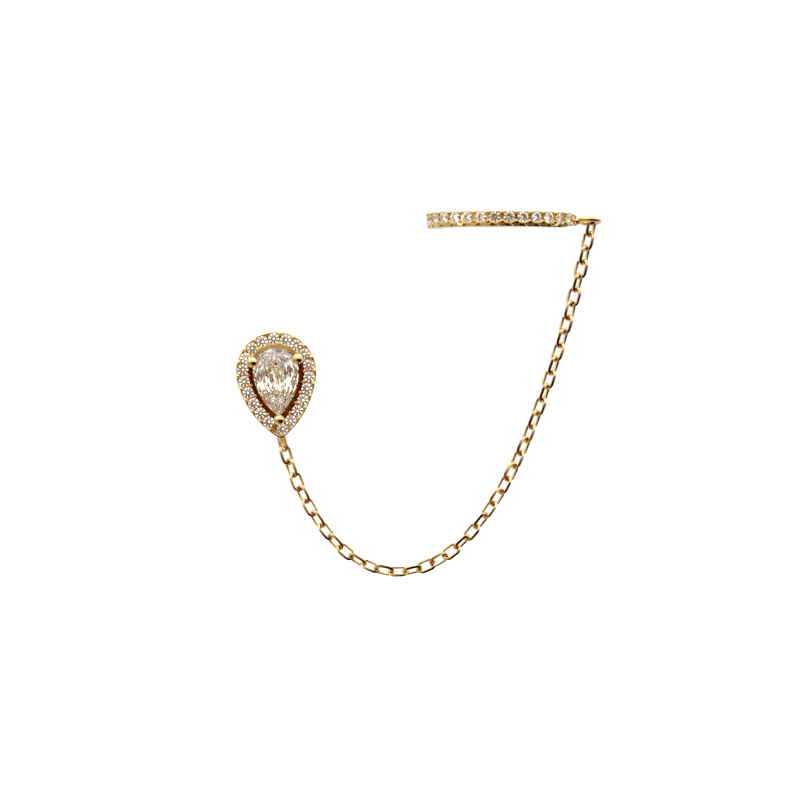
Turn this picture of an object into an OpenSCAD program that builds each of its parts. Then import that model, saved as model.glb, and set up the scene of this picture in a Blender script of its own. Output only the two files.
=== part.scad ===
// Ear chain earring: a drop-shaped stud and a C-shaped ear cuff joined by a fine hanging chain.
// Millimetres. X runs from the stud to the cuff, Z is up, the stones face -Y.
// The origin is the middle of the stud's back, where the ear post leaves it.

/* [Stud] */
// Turn of the drop in its own plane, tip towards the cuff
stud_roll = 7.5; // [0:0.5:20]
// Radius of the line of halo stones round the head of the drop
halo_line_r = 2.91; // [2.7:0.01:3.2]
// Radius of the line of halo stones along the flanks
flank_line_r = 7.5; // [7:0.1:9]
// Width of the halo rim, outer edge to inner edge
halo_w = 1.18; // [1.1:0.02:1.4]
// Depth of the halo rim, back to front
halo_h = 1.5; // [1.3:0.05:2]
// Diameter of one halo stone
halo_stone_d = 0.95; // [0.8:0.01:0.96]
// Diameter of the ball on each claw
claw_ball_d = 0.94; // [0.8:0.02:1]
// Diameter of the wire of each claw
claw_wire_d = 0.6; // [0.5:0.02:0.7]

/* [Centre stone] */
// Width of the drop-cut stone
drop_w = 4; // [3.8:0.05:4.05]
// Length of the drop-cut stone
drop_len = 6; // [5.8:0.05:6.1]
// Height of the girdle above the back of the stud
girdle_z = 2.15; // [2.1:0.05:2.4]

/* [Ear post] */
// Diameter of the ear post
post_d = 0.8; // [0.7:0.05:0.9]
// Length of the ear post behind the stud
post_len = 10; // [8:0.5:12]

/* [Chain] */
// Number of links
link_count = 42; // [42:2:44]
// Distance from one link to the next
link_pitch = 1.256; // [1.25:0.001:1.3]
// Width of a link over its sides
link_w = 1.3; // [1.26:0.01:1.34]
// Thickness of the link wire
link_wire = 0.26; // [0.22:0.01:0.27]
// Air between one link and the next
link_gap = 0.15; // [0.14:0.01:0.18]

/* [Ear cuff] */
// Half of the cuff's width, stud side to ring side
cuff_half_w = 6.55; // [6.4:0.05:7]
// Half of the cuff's depth, front to back
cuff_half_d = 5.3; // [5.1:0.05:5.6]
// Radius of the flatter front and back of the oval
cuff_front_r = 7.4; // [7.2:0.05:8]
// Height of the band
band_h = 1.38; // [1.34:0.02:1.6]
// Thickness of the band under the stones
band_t = 1.4; // [1.2:0.05:1.6]
// Thickness of the plain shank
shank_t = 1; // [0.9:0.05:1.2]
// Height of the plain shank
shank_h = 0.84; // [0.7:0.02:1]
// Diameter of one cuff stone
cuff_stone_d = 0.96; // [0.9:0.01:1]
// Distance along the band from one cuff stone to the next
cuff_pitch = 1.252; // [1.25:0.002:1.3]
// Number of stones on the cuff
cuff_stones = 14; // [10:1:14]
// Tilt of the cuff, ring side up
cuff_tilt = 3.2; // [0:0.2:8]

/* [End ring] */
// Diameter of the ring's wire
ring_wire = 0.42; // [0.38:0.02:0.44]
// Radius of the ring along the middle of its wire
ring_r = 0.85; // [0.8:0.01:0.95]

/* [Hidden] */
$fn = 48;
HALO_COUNT = 20;
HALO_NAMES = [for (i = [1 : HALO_COUNT]) str("halo_stone_", i < 10 ? "0" : "", i)];
CUFF_NAMES = [for (i = [1 : cuff_stones]) str("cuff_stone_", i < 10 ? "0" : "", i)];
GOLD = "#d8a93f";
CRYSTAL = "#dfe4ea";
seat_gap = 0.03;
bead_r = 0.18;
inner_bead_r = 0.15;

// Drop outline. The flank arc leaves the head circle at flank_start below the horizontal.
flank_start = 10;
flank_x = (flank_line_r - halo_line_r) * cos(flank_start);
flank_y = (flank_line_r - halo_line_r) * sin(flank_start);
flank_end = acos(flank_x / flank_line_r);
head_arc = halo_line_r * (90 + flank_start) * PI / 180;
flank_arc = flank_line_r * (flank_end - flank_start) * PI / 180;
// The lowest stone sits a little above the point where the two flank lines meet.
tip_setback = 0.25;
halo_pitch = (head_arc + flank_arc - tip_setback) / (HALO_COUNT / 2);
tip_round_r = 0.45;

// Stud heights above its back face
back_bar_h = 0.4;
back_bar_z = 0.05;
back_bar_w = 0.9;
gallery_h = 0.6;
gallery_out = 0.55;
gallery_in = 1.4;
halo_seat_z = halo_h - 0.1;
halo_bead_z = halo_h - 0.02;
bead_out = 0.42;
claw_out = 0.165;
claw_angle = 24;
claw_ball_z = girdle_z + 0.55;
tip_claw_y = -4.2;
head_y = 0.09;
crown_h = 0.55;
girdle_h = 0.08;
pavilion_h = 1.6;
post_tip = 0.4;

// Loop soldered under the tip, given in the drop's own frame
loop_wire = 0.31;
loop_w = 1.14;
loop_top = [0, -5.4];
loop_bottom = [0.23, -6.93];
loop_z = 0.8;
loop_turn = -50;
solder_t = 0.2;

// Ear cuff places. The chain hangs in the plane of the tip loop.
chain_y = -loop_z;
ring_hook = 72;
ring_tilt = 10;
cuff_x = 18.95;
cuff_z = 14.32;
ring_x = cuff_half_w + ring_r + ring_wire / 2 - 0.02;
cuff_y = chain_y - ring_r * sin(ring_hook) * cos(ring_tilt);
stone_rise = 0.14;
cuff_seat_in = 0.12;
cuff_bead_out = 0.03;
cuff_bead_rise = 0.36;
stone_row_shift = -0.796;
first_stone = -7;
stone_end = stone_row_shift + (first_stone - 0.55) * cuff_pitch;
ring_end = 9.6;
shank_end = -23.7;
arch_r = 0.4;
arch_drop = 0.13;
arch_deep = 0.35;
taper_x = 5.2;
taper_fall = 0.28;

// Oval plan of the cuff: flat arcs front and back, tighter arcs at the sides, all tangent
oval_k = cuff_front_r - cuff_half_d;
oval_side_r = (pow(cuff_half_w, 2) + pow(oval_k, 2) - pow(cuff_front_r, 2))
    / (2 * (cuff_half_w - cuff_front_r));
oval_h = cuff_half_w - oval_side_r;
oval_turn = atan2(oval_h, oval_k);
oval_s1 = cuff_front_r * oval_turn * PI / 180;
oval_s2 = oval_side_r * (180 - 2 * oval_turn) * PI / 180;
oval_total = 4 * oval_s1 + 2 * oval_s2;

function deg(rad) = rad * 180 / PI;
function sinh(x) = (exp(x) - exp(-x)) / 2;
function cosh(x) = (exp(x) + exp(-x)) / 2;
function asinh(x) = ln(x + sqrt(x * x + 1));

// Point of the drop outline at arc length s from the top, moved outwards by out.
// A negative s runs down the left side.
function drop_right(s, out) = s < head_arc
    ? let (a = 90 - deg(s / halo_line_r)) (halo_line_r + out) * [cos(a), sin(a)]
    : let (a = flank_start + deg((s - head_arc) / flank_line_r))
        [-flank_x + (flank_line_r + out) * cos(a), flank_y - (flank_line_r + out) * sin(a)];
function drop_point(s, out) = let (p = drop_right(abs(s), out)) s < 0 ? [-p.x, p.y] : p;

// Round end of the tip: a circle of radius r on the axis that touches both flanks
function tip_centre(r, out) = flank_y - sqrt(pow(flank_line_r + out - r, 2) - pow(flank_x, 2));
function drop_side(out, r, steps) = let (
        yc = tip_centre(r, out),
        turn = acos(flank_x / (flank_line_r + out - r)),
        head = [for (i = [0 : steps]) let (a = 90 - i * (90 + flank_start) / steps)
            (halo_line_r + out) * [cos(a), sin(a)]],
        flank = [for (i = [1 : steps])
            let (a = flank_start + i * (turn - flank_start) / steps)
            [-flank_x + (flank_line_r + out) * cos(a), flank_y - (flank_line_r + out) * sin(a)]],
        tip = [for (i = [1 : 4]) let (a = turn + i * (90 - turn) / 4)
            [r * cos(a), yc - r * sin(a)]])
    concat(head, flank, tip);
function drop_outline(out, r = 0.3, steps = 14) = let (
        right = drop_side(out, r, steps),
        n = len(right),
        left = [for (i = [n - 2 : -1 : 1]) [-right[i].x, right[i].y]])
    concat(right, left);

// Half width of the centre stone at height y: a round head and two flanks that meet at the tip
stone_tip_y = head_y + drop_w / 2 - drop_len;
stone_flank_r = 5.4;
function stone_half_width(y) = let (r = drop_w / 2, d = stone_flank_r - r,
        a = stone_lean())
    y > head_y - r * sin(a)
        ? sqrt(max(r * r - pow(y - head_y, 2), 0))
        : -d * cos(a) + sqrt(pow(stone_flank_r, 2) - pow(y - head_y - d * sin(a), 2));
// Lean of the tangent where the stone's flank leaves its head, so that the tip lands on stone_tip_y
function stone_lean() = let (d = stone_flank_r - drop_w / 2, fall = head_y - stone_tip_y)
    asin((pow(stone_flank_r, 2) - pow(d, 2) - pow(fall, 2)) / (2 * d * fall));

// Oval plan: point at arc length s from the front middle, moved inwards by inset
function oval_wrap(s) = s < -oval_total / 2 ? s + oval_total : s;
function oval_angle(s) = let (a = abs(s))
    a < oval_s1 ? deg(a / cuff_front_r)
    : a < oval_s1 + oval_s2 ? oval_turn + deg((a - oval_s1) / oval_side_r)
    : 180 - oval_turn + deg((a - oval_s1 - oval_s2) / cuff_front_r);
function oval_side(a, inset) = let (t = oval_angle(a))
    a < oval_s1
        ? [(cuff_front_r - inset) * sin(t), oval_k - (cuff_front_r - inset) * cos(t)]
    : a < oval_s1 + oval_s2
        ? [oval_h + (oval_side_r - inset) * sin(t), -(oval_side_r - inset) * cos(t)]
    : [(cuff_front_r - inset) * sin(t), -oval_k - (cuff_front_r - inset) * cos(t)];
function oval_point(s, inset) = let (w = oval_wrap(s), p = oval_side(abs(w), inset))
    w < 0 ? [-p.x, p.y] : p;
function oval_turn_at(s) = let (w = oval_wrap(s)) (w < 0 ? -1 : 1) * oval_angle(w);
// Strip of the plan from s0 to s1 between two insets
function oval_strip(s0, s1, out, inn, steps) = concat(
    [for (i = [0 : steps]) oval_point(s0 + i * (s1 - s0) / steps, out)],
    [for (i = [steps : -1 : 0]) oval_point(s0 + i * (s1 - s0) / steps, inn)]);

// Hanging curve of the chain from chain_start to chain_end, both in X and Z
loop_axis = loop_bottom - loop_top;
loop_axis_len = norm(loop_axis);
function stud_to_part(p) = [p.x * cos(stud_roll) - p.y * sin(stud_roll),
    p.x * sin(stud_roll) + p.y * cos(stud_roll)];
loop_dir = stud_to_part(loop_axis / loop_axis_len);
loop_hook = stud_to_part(loop_bottom);
ring_hook_x = ring_x + ring_r * cos(ring_hook);
ring_drop = ring_r * sin(ring_hook) * sin(ring_tilt);
ring_point = [cuff_x + ring_hook_x * cos(cuff_tilt), cuff_z + ring_hook_x * sin(cuff_tilt) - ring_drop];
ring_lean = 10;
even_link_turn = -38;
odd_link_turn = 52;
last_link_turn = 58;
chain_start = loop_hook - (loop_wire + link_gap) / 2 * loop_dir;
chain_end = ring_point + (ring_wire + link_gap) / 2 * [sin(ring_lean), cos(ring_lean)];
chain_len = link_count * link_pitch;
hang_span = chain_end.x - chain_start.x;
hang_rise = chain_end.y - chain_start.y;
hang_k = sqrt(pow(chain_len, 2) - pow(hang_rise, 2));
function hang_solve(lo, hi, n) = let (mid = (lo + hi) / 2)
    n == 0 ? mid
    : 2 * mid * sinh(hang_span / (2 * mid)) > hang_k ? hang_solve(mid, hi, n - 1)
    : hang_solve(lo, mid, n - 1);
hang_a = hang_solve(2, 60, 40);
hang_x = (chain_start.x + chain_end.x) / 2 - hang_a * asinh(hang_rise / hang_k);
hang_z = chain_start.y - hang_a * (cosh((chain_start.x - hang_x) / hang_a) - 1);
hang_s = hang_a * sinh((chain_start.x - hang_x) / hang_a);
function hang_point(s) = [hang_x + hang_a * asinh(s / hang_a), chain_y,
    hang_z + sqrt(hang_a * hang_a + s * s) - hang_a];

// One link: a six-sided wire round two half circles and two straight sides
link_side_angles = [90, 54, 18, -18, -54, -90];
link_end_r = (link_w - link_wire) / 2;
link_half_straight = (link_pitch + link_wire + link_gap) / 2 - link_end_r;
link_wire_r = link_wire / 2 / cos(30);
function link_station(a, side) = let (r = abs(a) > 80 ? link_end_r : link_end_r / cos(18))
    [side * (link_half_straight + r * cos(a)), r * sin(a), side * cos(a), sin(a)];
link_path = concat(
    [for (a = [-90 : 36 : 90]) link_station(a, 1)],
    [for (i = [0 : 5]) link_station(link_side_angles[i], -1)]);
function cross3(a, b) = [a.y * b.z - a.z * b.y, a.z * b.x - a.x * b.z, a.x * b.y - a.y * b.x];
function link_points(centre, along, across) = let (up = cross3(along, across))
    [for (p = link_path, j = [0 : 5]) let (b = 30 + 60 * j)
        centre + (p[0] + link_wire_r * cos(b) * p[2]) * along
        + (p[1] + link_wire_r * cos(b) * p[3]) * across
        + link_wire_r * sin(b) * up];
function tube_faces(rings, sides) = [for (i = [0 : rings - 1], j = [0 : sides - 1], half = [0, 1])
    let (i2 = (i + 1) % rings, j2 = (j + 1) % sides)
    half == 0
        ? [i * sides + j, i * sides + j2, i2 * sides + j2]
        : [i * sides + j, i2 * sides + j2, i2 * sides + j]];

// Cut stone: a flat table, kite and girdle facets above the girdle, and a pointed pavilion.
// The girdle list has an even number of points.
module cut_stone(girdle, table_scale, crown, edge, pavilion, keel) {
    n = len(girdle);
    m = n / 2;
    points = concat(
        [for (i = [0 : m - 1]) let (g = keel + table_scale * (girdle[2 * i] - keel))
            [g.x, g.y, crown]],
        [for (p = girdle) [p.x, p.y, 0]],
        [for (p = girdle) [p.x, p.y, -edge]],
        [[keel.x, keel.y, -edge - pavilion]]);
    table = [[for (i = [m - 1 : -1 : 0]) i]];
    crown_facets = [for (i = [0 : m - 1], k = [0 : 2]) let (
            t2 = (i + 1) % m,
            g0 = m + 2 * i,
            g1 = m + 2 * i + 1,
            g2 = m + (2 * i + 2) % n)
        k == 0 ? [i, g1, g0] : k == 1 ? [i, t2, g1] : [t2, g2, g1]];
    girdle_facets = [for (i = [0 : n - 1]) let (j = (i + 1) % n)
        [m + i, m + j, m + n + j, m + n + i]];
    pavilion_facets = [for (i = [0 : n - 1]) let (j = (i + 1) % n)
        [m + n + i, m + n + j, m + 2 * n]];
    polyhedron(points, concat(table, crown_facets, girdle_facets, pavilion_facets));
}

module round_stone(d) {
    ring = [for (i = [0 : 15]) d / 2 * [cos(22.5 * i), sin(22.5 * i)]];
    cut_stone(ring, 0.57, 0.15 * d, 0.03 * d, 0.42 * d, [0, 0]);
}

// Open seat for one round stone, its girdle at height zero
module round_seat(d) {
    depth = 0.45 * d;
    translate([0, 0, -0.05]) cylinder(h = 1, d = d + 2 * seat_gap);
    translate([0, 0, -0.05 - depth]) cylinder(h = depth, r1 = 0.12, d2 = d + 2 * seat_gap);
}

// Frame of the stud: x right, y up, z out of the face
module on_stud() {
    rotate([90, 0, 0]) rotate([0, 0, stud_roll]) children();
}

// Frame of the cuff: x to the ring, y back, z up, about the middle of the oval
module on_cuff() {
    translate([cuff_x, cuff_y, cuff_z]) rotate([0, -cuff_tilt, 0]) children();
}

// Place on the outer face of the cuff at arc length s, z of the child pointing outwards
module on_band(s, inset, rise) {
    p = oval_point(s, inset);
    translate([p.x, p.y, rise]) rotate([0, 0, oval_turn_at(s)]) rotate([90, 0, 0]) children();
}

// Arc length of stone i on the halo line: down the right side first, then up the left
function halo_s(i) = (i <= HALO_COUNT / 2 ? i : i - HALO_COUNT) * halo_pitch;

module halo_rim() {
    difference() {
        linear_extrude(height = halo_h) polygon(drop_outline(halo_w / 2, tip_round_r));
        translate([0, 0, -1]) linear_extrude(height = halo_h + 2) polygon(drop_outline(-halo_w / 2));
        halo_seats();
    }
}

module halo_seats() {
    for (i = [0 : HALO_COUNT - 1]) {
        p = drop_point(halo_s(i), 0);
        translate([p.x, p.y, halo_seat_z]) round_seat(halo_stone_d);
    }
}

// Small beads raised from the rim between the stones, along both edges
module halo_beads() {
    for (i = [0 : HALO_COUNT - 1]) {
        s = halo_s(i) + (i < HALO_COUNT / 2 ? 1 : -1) * halo_pitch / 2;
        near_tip = abs(s) > (HALO_COUNT / 2 - 1) * halo_pitch;
        outer = drop_point(s, bead_out);
        inner = drop_point(s, -bead_out);
        translate([outer.x, outer.y, halo_bead_z]) sphere(r = bead_r, $fn = 24);
        if (!near_tip) translate([inner.x, inner.y, halo_bead_z]) sphere(r = inner_bead_r, $fn = 24);
    }
}

// Gallery under the centre stone: a low ledge inside the rim, a bar across the back, three claws
module gallery() {
    difference() {
        union() {
            difference() {
                linear_extrude(height = gallery_h) polygon(drop_outline(-gallery_out));
                translate([0, 0, -1]) linear_extrude(height = gallery_h + 2)
                    polygon(drop_outline(-gallery_in));
            }
            translate([-back_bar_w / 2, -4.4, back_bar_z]) cube([back_bar_w, 7, back_bar_h]);
            for (side = [-1, 1])
                claw([side * (drop_w / 2 + claw_out) * cos(claw_angle),
                    head_y + (drop_w / 2 + claw_out) * sin(claw_angle)]);
            claw([0, tip_claw_y]);
        }
        // Room for the stone's girdle and pavilion inside the claws
        translate([0, head_y, gallery_h])
            cylinder(h = girdle_z - gallery_h + 0.1, r = drop_w / 2 + seat_gap);
        translate([-0.4, stone_tip_y - seat_gap, gallery_h])
            cube([0.8, 1.2, girdle_z - gallery_h + 0.1]);
        halo_seats();
    }
}

module claw(p) {
    translate([p.x, p.y, 0]) cylinder(h = claw_ball_z, d = claw_wire_d);
    translate([p.x, p.y, claw_ball_z]) sphere(d = claw_ball_d);
}

// Oval wire loop under the tip, its upper end closed with solder, turned about its own length
module tip_loop() {
    end_r = (loop_w - loop_wire) / 2;
    straight = loop_axis_len - 2 * end_r;
    translate([loop_top.x, loop_top.y, loop_z])
        rotate([0, 0, atan2(loop_axis.x, -loop_axis.y)])
        rotate([0, loop_turn, 0])
        translate([0, -end_r, 0]) {
            rotate_extrude(angle = 180) translate([end_r, 0]) circle(d = loop_wire);
            translate([0, -straight, 0]) rotate([0, 0, 180])
                rotate_extrude(angle = 180) translate([end_r, 0]) circle(d = loop_wire);
            for (side = [-1, 1])
                translate([side * end_r, 0, 0]) rotate([90, 0, 0]) cylinder(h = straight, d = loop_wire);
            translate([-end_r, -0.35 * straight, -solder_t / 2]) cube([2 * end_r, 0.55, solder_t]);
        }
}

module ear_post() {
    translate([0, 0, post_tip - post_len]) cylinder(h = post_len - post_tip + 0.2, d = post_d);
    translate([0, 0, -post_len]) cylinder(h = post_tip, d1 = 0.35, d2 = post_d);
}

module stud_setting() {
    color(GOLD) on_stud() {
        halo_rim();
        halo_beads();
        gallery();
        tip_loop();
        ear_post();
    }
}

module centre_stone() {
    steps = 12;
    // Heights of the girdle points, closer together round the head
    drop = [for (i = [0 : steps]) let (y = head_y + drop_w / 2 - drop_len * (1 - cos(180 * i / steps)) / 2)
        [stone_half_width(y), y]];
    left = [for (i = [0 : steps]) [-drop[i].x, drop[i].y]];
    right = [for (i = [steps - 1 : -1 : 1]) drop[i]];
    color(CRYSTAL) on_stud() translate([0, 0, girdle_z])
        cut_stone(concat(left, right), 0.56, crown_h, girdle_h, pavilion_h, [0, head_y - 0.3]);
}

module halo_stone(i) {
    p = drop_point(halo_s(i), 0);
    color(CRYSTAL) on_stud() translate([p.x, p.y, halo_seat_z]) round_stone(halo_stone_d);
}

module chain() {
    color(GOLD) for (i = [0 : link_count - 1]) {
        a = hang_point(hang_s + i * link_pitch);
        b = hang_point(hang_s + (i + 1) * link_pitch);
        along = (b - a) / norm(b - a);
        side = [along.z, 0, -along.x];
        turn = i == link_count - 1 ? last_link_turn : i % 2 == 0 ? even_link_turn : odd_link_turn;
        across = cos(turn) * side + [0, sin(turn), 0];
        polyhedron(link_points((a + b) / 2, along, across), tube_faces(12, 6));
    }
}

module ear_cuff() {
    half = band_h / 2;
    color(GOLD) on_cuff() {
        difference() {
            translate([0, 0, -half]) linear_extrude(height = band_h)
                polygon(oval_strip(stone_end, ring_end, 0, band_t, 44));
            for (i = [0 : cuff_stones - 1]) {
                on_band(stone_s(i), cuff_seat_in, stone_rise) round_seat(cuff_stone_d);
                // Arch under each stone, cut into the lower edge
                on_band(stone_s(i), arch_deep, -half - arch_drop) cylinder(h = 1, r = arch_r);
            }
            // The band narrows towards the ring
            for (side = [-1, 1])
                translate([taper_x, 0, side * half])
                    rotate([0, side * atan2(taper_fall, cuff_half_w - taper_x), 0])
                    translate([-0.5, -10, side > 0 ? 0 : -2]) cube([6, 20, 2]);
        }
        cuff_beads();
        plain_shank();
        end_ring();
    }
}

function stone_s(i) = stone_row_shift + (i + first_stone) * cuff_pitch;

// Shared beads between the stones, above and below
module cuff_beads() {
    for (i = [0 : cuff_stones - 2], side = [-1, 1]) {
        s = stone_s(i) + cuff_pitch / 2;
        on_band(s, cuff_bead_out, stone_rise + side * cuff_bead_rise) sphere(r = bead_r, $fn = 24);
    }
}

// Back of the cuff: a plain polished strip with a round end
module plain_shank() {
    translate([0, 0, -shank_h / 2]) linear_extrude(height = shank_h)
        polygon(oval_strip(shank_end, stone_end + 0.05, 0.15, 0.15 + shank_t, 36));
    p = oval_point(shank_end, 0.15 + shank_t / 2);
    translate([p.x, p.y, -shank_h / 2]) cylinder(h = shank_h, d = shank_t + 0.1);
}

module end_ring() {
    translate([ring_x, 0, 0]) rotate([-ring_tilt, 0, 0])
        rotate_extrude() translate([ring_r, 0]) circle(d = ring_wire, $fn = 24);
    translate([cuff_half_w - 0.5, 0, 0]) rotate([0, 90, 0]) cylinder(h = 0.75, d = 0.6);
}

module cuff_stone(i) {
    color(CRYSTAL) on_cuff() on_band(stone_s(i), cuff_seat_in, stone_rise) round_stone(cuff_stone_d);
}

stud_setting();
centre_stone();
for (i = [0 : HALO_COUNT - 1])
    halo_stone(i);
chain();
ear_cuff();
for (i = [0 : cuff_stones - 1])
    cuff_stone(i);
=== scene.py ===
import math
import random

import bmesh
import bpy
from mathutils import Matrix, Vector


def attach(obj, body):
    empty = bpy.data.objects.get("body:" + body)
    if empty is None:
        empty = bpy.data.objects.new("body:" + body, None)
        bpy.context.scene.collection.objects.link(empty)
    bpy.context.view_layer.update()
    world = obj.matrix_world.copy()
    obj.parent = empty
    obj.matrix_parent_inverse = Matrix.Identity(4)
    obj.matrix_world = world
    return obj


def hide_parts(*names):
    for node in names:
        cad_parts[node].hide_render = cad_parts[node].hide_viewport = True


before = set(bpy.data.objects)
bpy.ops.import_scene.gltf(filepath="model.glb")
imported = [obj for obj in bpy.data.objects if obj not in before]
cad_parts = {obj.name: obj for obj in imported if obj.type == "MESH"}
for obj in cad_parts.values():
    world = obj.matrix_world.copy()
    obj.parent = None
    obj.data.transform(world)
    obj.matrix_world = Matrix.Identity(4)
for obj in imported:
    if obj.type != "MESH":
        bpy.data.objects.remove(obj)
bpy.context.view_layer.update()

# Studio
# The piece hangs as worn in a white room, over a white paper sweep, lit by three softboxes. The camera
# looks level at the stones from 35 cm, like the photographer's close-up lens, and is rolled a little.
MM = 0.001
VIEW_AT = Vector((10.95, -0.8, -1.82))
VIEW_DISTANCE = 350
VIEW_ROLL = math.radians(3.384)
PICTURE_WIDTH = 70
SENSOR = 36
FLOOR_DROP = 65
FLOOR_SIDE = 6000
LIGHT_BOUNCES = 24
LAMP_AIM = Vector((12, 0, 0))


def linear(code):
    """Linear colour of an sRGB hex code."""
    parts = [int(code[i:i + 2], 16) / 255 for i in (0, 2, 4)]
    return [v / 12.92 if v <= 0.04045 else ((v + 0.055) / 1.055) ** 2.4 for v in parts] + [1]


def add_node(tree, kind, settings=(), inputs=()):
    """Adds a node, sets its properties, and sets or links its inputs."""
    made = tree.nodes.new(kind)
    for name, value in dict(settings).items():
        setattr(made, name, value)
    for name, value in dict(inputs).items():
        if isinstance(value, bpy.types.NodeSocket):
            tree.links.new(value, made.inputs[name])
        else:
            made.inputs[name].default_value = value
    return made


def new_material(name):
    """A material with no nodes yet, and its node tree."""
    made = bpy.data.materials.new(name)
    made.use_nodes = True
    made.node_tree.nodes.clear()
    return made, made.node_tree


def new_object(name, data):
    """An object at the scene's origin that holds this mesh, camera or light."""
    made = bpy.data.objects.new(name, data)
    bpy.context.scene.collection.objects.link(made)
    return made


camera_data = bpy.data.cameras.new("camera")
camera_data.sensor_width = SENSOR
camera_data.lens = SENSOR * VIEW_DISTANCE / PICTURE_WIDTH
camera_data.clip_start = 0.01
camera_data.clip_end = 20
camera = new_object("camera", camera_data)
view_right = Vector((math.cos(VIEW_ROLL), 0, math.sin(VIEW_ROLL)))
view_up = Vector((-math.sin(VIEW_ROLL), 0, math.cos(VIEW_ROLL)))
view_back = Vector((0, -1, 0))
camera.matrix_world = Matrix.Translation((VIEW_AT + VIEW_DISTANCE * view_back) * MM) @ Matrix(
    (view_right, view_up, view_back)).transposed().to_4x4()
bpy.context.scene.camera = camera
bpy.context.scene.view_settings.view_transform = "Standard"
# Light goes round inside a cut stone many times before it leaves
for kind in ("max_bounces", "glossy_bounces", "transmission_bounces"):
    setattr(bpy.context.scene.cycles, kind, LIGHT_BOUNCES)

world = bpy.data.worlds.new("white room")
bpy.context.scene.world = world
world.use_nodes = True
room = world.node_tree
room.nodes.clear()
ray = add_node(room, "ShaderNodeTexCoord").outputs["Generated"]
# Gold mirrors a room that is white above and behind, and in front falls through amber to near black
# below eye level, lighter to the left and where the paper lies straight below. Cut stones, which
# gather light from all sides, see its lamps, screens and dark corners as a mosaic of greys, and the
# camera as a black spot.
LOW_FADE = (0.33, -0.22)
FRONT_FADE = (0.5, 0.15)
LEFT_FADE = (-0.6, 0.5)
LEFT_SHARE = 0.27
PAPER_FADE = (-0.95, -0.65)
PAPER_SHARE = 0.4
ROOM_TONES = ((0, "FFFFFF"), (0.15, "F4E2C0"), (0.35, "B07C38"), (0.6, "6A2E06"), (0.85, "260A02"),
              (1, "080200"))
GLINT_TONES = ((0, "14100C"), (0.14, "6E6456"), (0.3, "BEB6A6"), (0.5, "F2EEE4"), (0.66, "FFFFFF"))
GLINT_SCALE = 3.3
GLINT_SHARE = 0.8
GLINT_BOOST = 0.2
GLINT_FRONT = 1.6
SCREEN_FADE = (-0.6, -0.8)
CAMERA_SPOT = (-0.87, -0.95)
CAMERA_TONE = "080604"
TOP_LIGHT = (-0.1, 0.8, 0.7, 1.2)


def tone_ramp(value, tones, hard=False):
    """A colour ramp in the room, from a value to the tones."""
    made = add_node(room, "ShaderNodeValToRGB", (), {0: value})
    ramp = made.color_ramp
    ramp.interpolation = "CONSTANT" if hard else "LINEAR"
    for stop, code in tones[1:-1]:
        ramp.elements.new(stop)
    for element, (stop, code) in zip(ramp.elements, tones):
        element.position, element.color = stop, linear(code)
    return made.outputs["Color"]


def fade(value, low, high, start=0.0, end=1.0):
    """A soft step of a value of the room's directions."""
    return add_node(room, "ShaderNodeMapRange", {"interpolation_type": "SMOOTHSTEP"}, {
        "Value": value, "From Min": low, "From Max": high, "To Min": start, "To Max": end}).outputs["Result"]


def times(a, b, add=0.0):
    """The product of two values, plus a third."""
    return add_node(room, "ShaderNodeMath", {"operation": "MULTIPLY_ADD"}, {0: a, 1: b, 2: add}).outputs[0]


def blend(share, a, b):
    """A mix of two colours of the room."""
    return add_node(room, "ShaderNodeMix", {"data_type": "RGBA"}, {0: share, 6: a, 7: b}).outputs[2]


parts = add_node(room, "ShaderNodeSeparateXYZ", (), {0: ray}).outputs
low_front = times(fade(parts["Z"], *LOW_FADE), fade(parts["Y"], *FRONT_FADE))
off_paper = fade(parts["Z"], *PAPER_FADE, PAPER_SHARE)
to_right = fade(parts["X"], *LEFT_FADE, LEFT_SHARE)
tones = tone_ramp(times(times(low_front, off_paper), to_right), ROOM_TONES)
cells = add_node(room, "ShaderNodeTexVoronoi", (), {"Vector": ray, "Scale": GLINT_SCALE})
picked = add_node(room, "ShaderNodeSeparateColor", (), {0: cells.outputs["Color"]})
glints = blend(fade(parts["Y"], *CAMERA_SPOT), tone_ramp(picked.outputs[0], GLINT_TONES, hard=True),
               linear(CAMERA_TONE))
path_kind = add_node(room, "ShaderNodeLightPath").outputs
seen, from_stone = path_kind["Is Camera Ray"], path_kind["Is Transmission Ray"]
lit = blend(seen, blend(times(from_stone, GLINT_SHARE), tones, glints), (1, 1, 1, 1))
screens = times(fade(parts["Y"], *SCREEN_FADE), GLINT_FRONT, GLINT_BOOST)
strong = times(fade(parts["Z"], *TOP_LIGHT), times(from_stone, screens, 1.0))
power = add_node(room, "ShaderNodeMix", {"data_type": "FLOAT"}, {0: seen, 2: strong, 3: 1.0})
ground = add_node(room, "ShaderNodeBackground", (), {"Color": lit, "Strength": power.outputs[0]})
add_node(room, "ShaderNodeOutputWorld", (), {"Surface": ground.outputs[0]})

# Three softboxes: place, size, and how bright the face looks
for name, place, size, radiance in (
        ("softbox_top", Vector((-60, -160, 330)), (200, 120), 1.2),
        ("softbox_left", Vector((-330, -190, 60)), (70, 200), 1.1),
        ("softbox_right", Vector((350, -60, 80)), (50, 200), 1.0)):
    lamp = bpy.data.lights.new(name, "AREA")
    lamp.shape = "RECTANGLE"
    lamp.size, lamp.size_y = size[0] * MM, size[1] * MM
    lamp.energy = radiance * math.pi * lamp.size * lamp.size_y
    facing = (place - LAMP_AIM).to_track_quat("Z", "Y").to_matrix().to_4x4()
    new_object(name, lamp).matrix_world = Matrix.Translation(place * MM) @ facing

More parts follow.
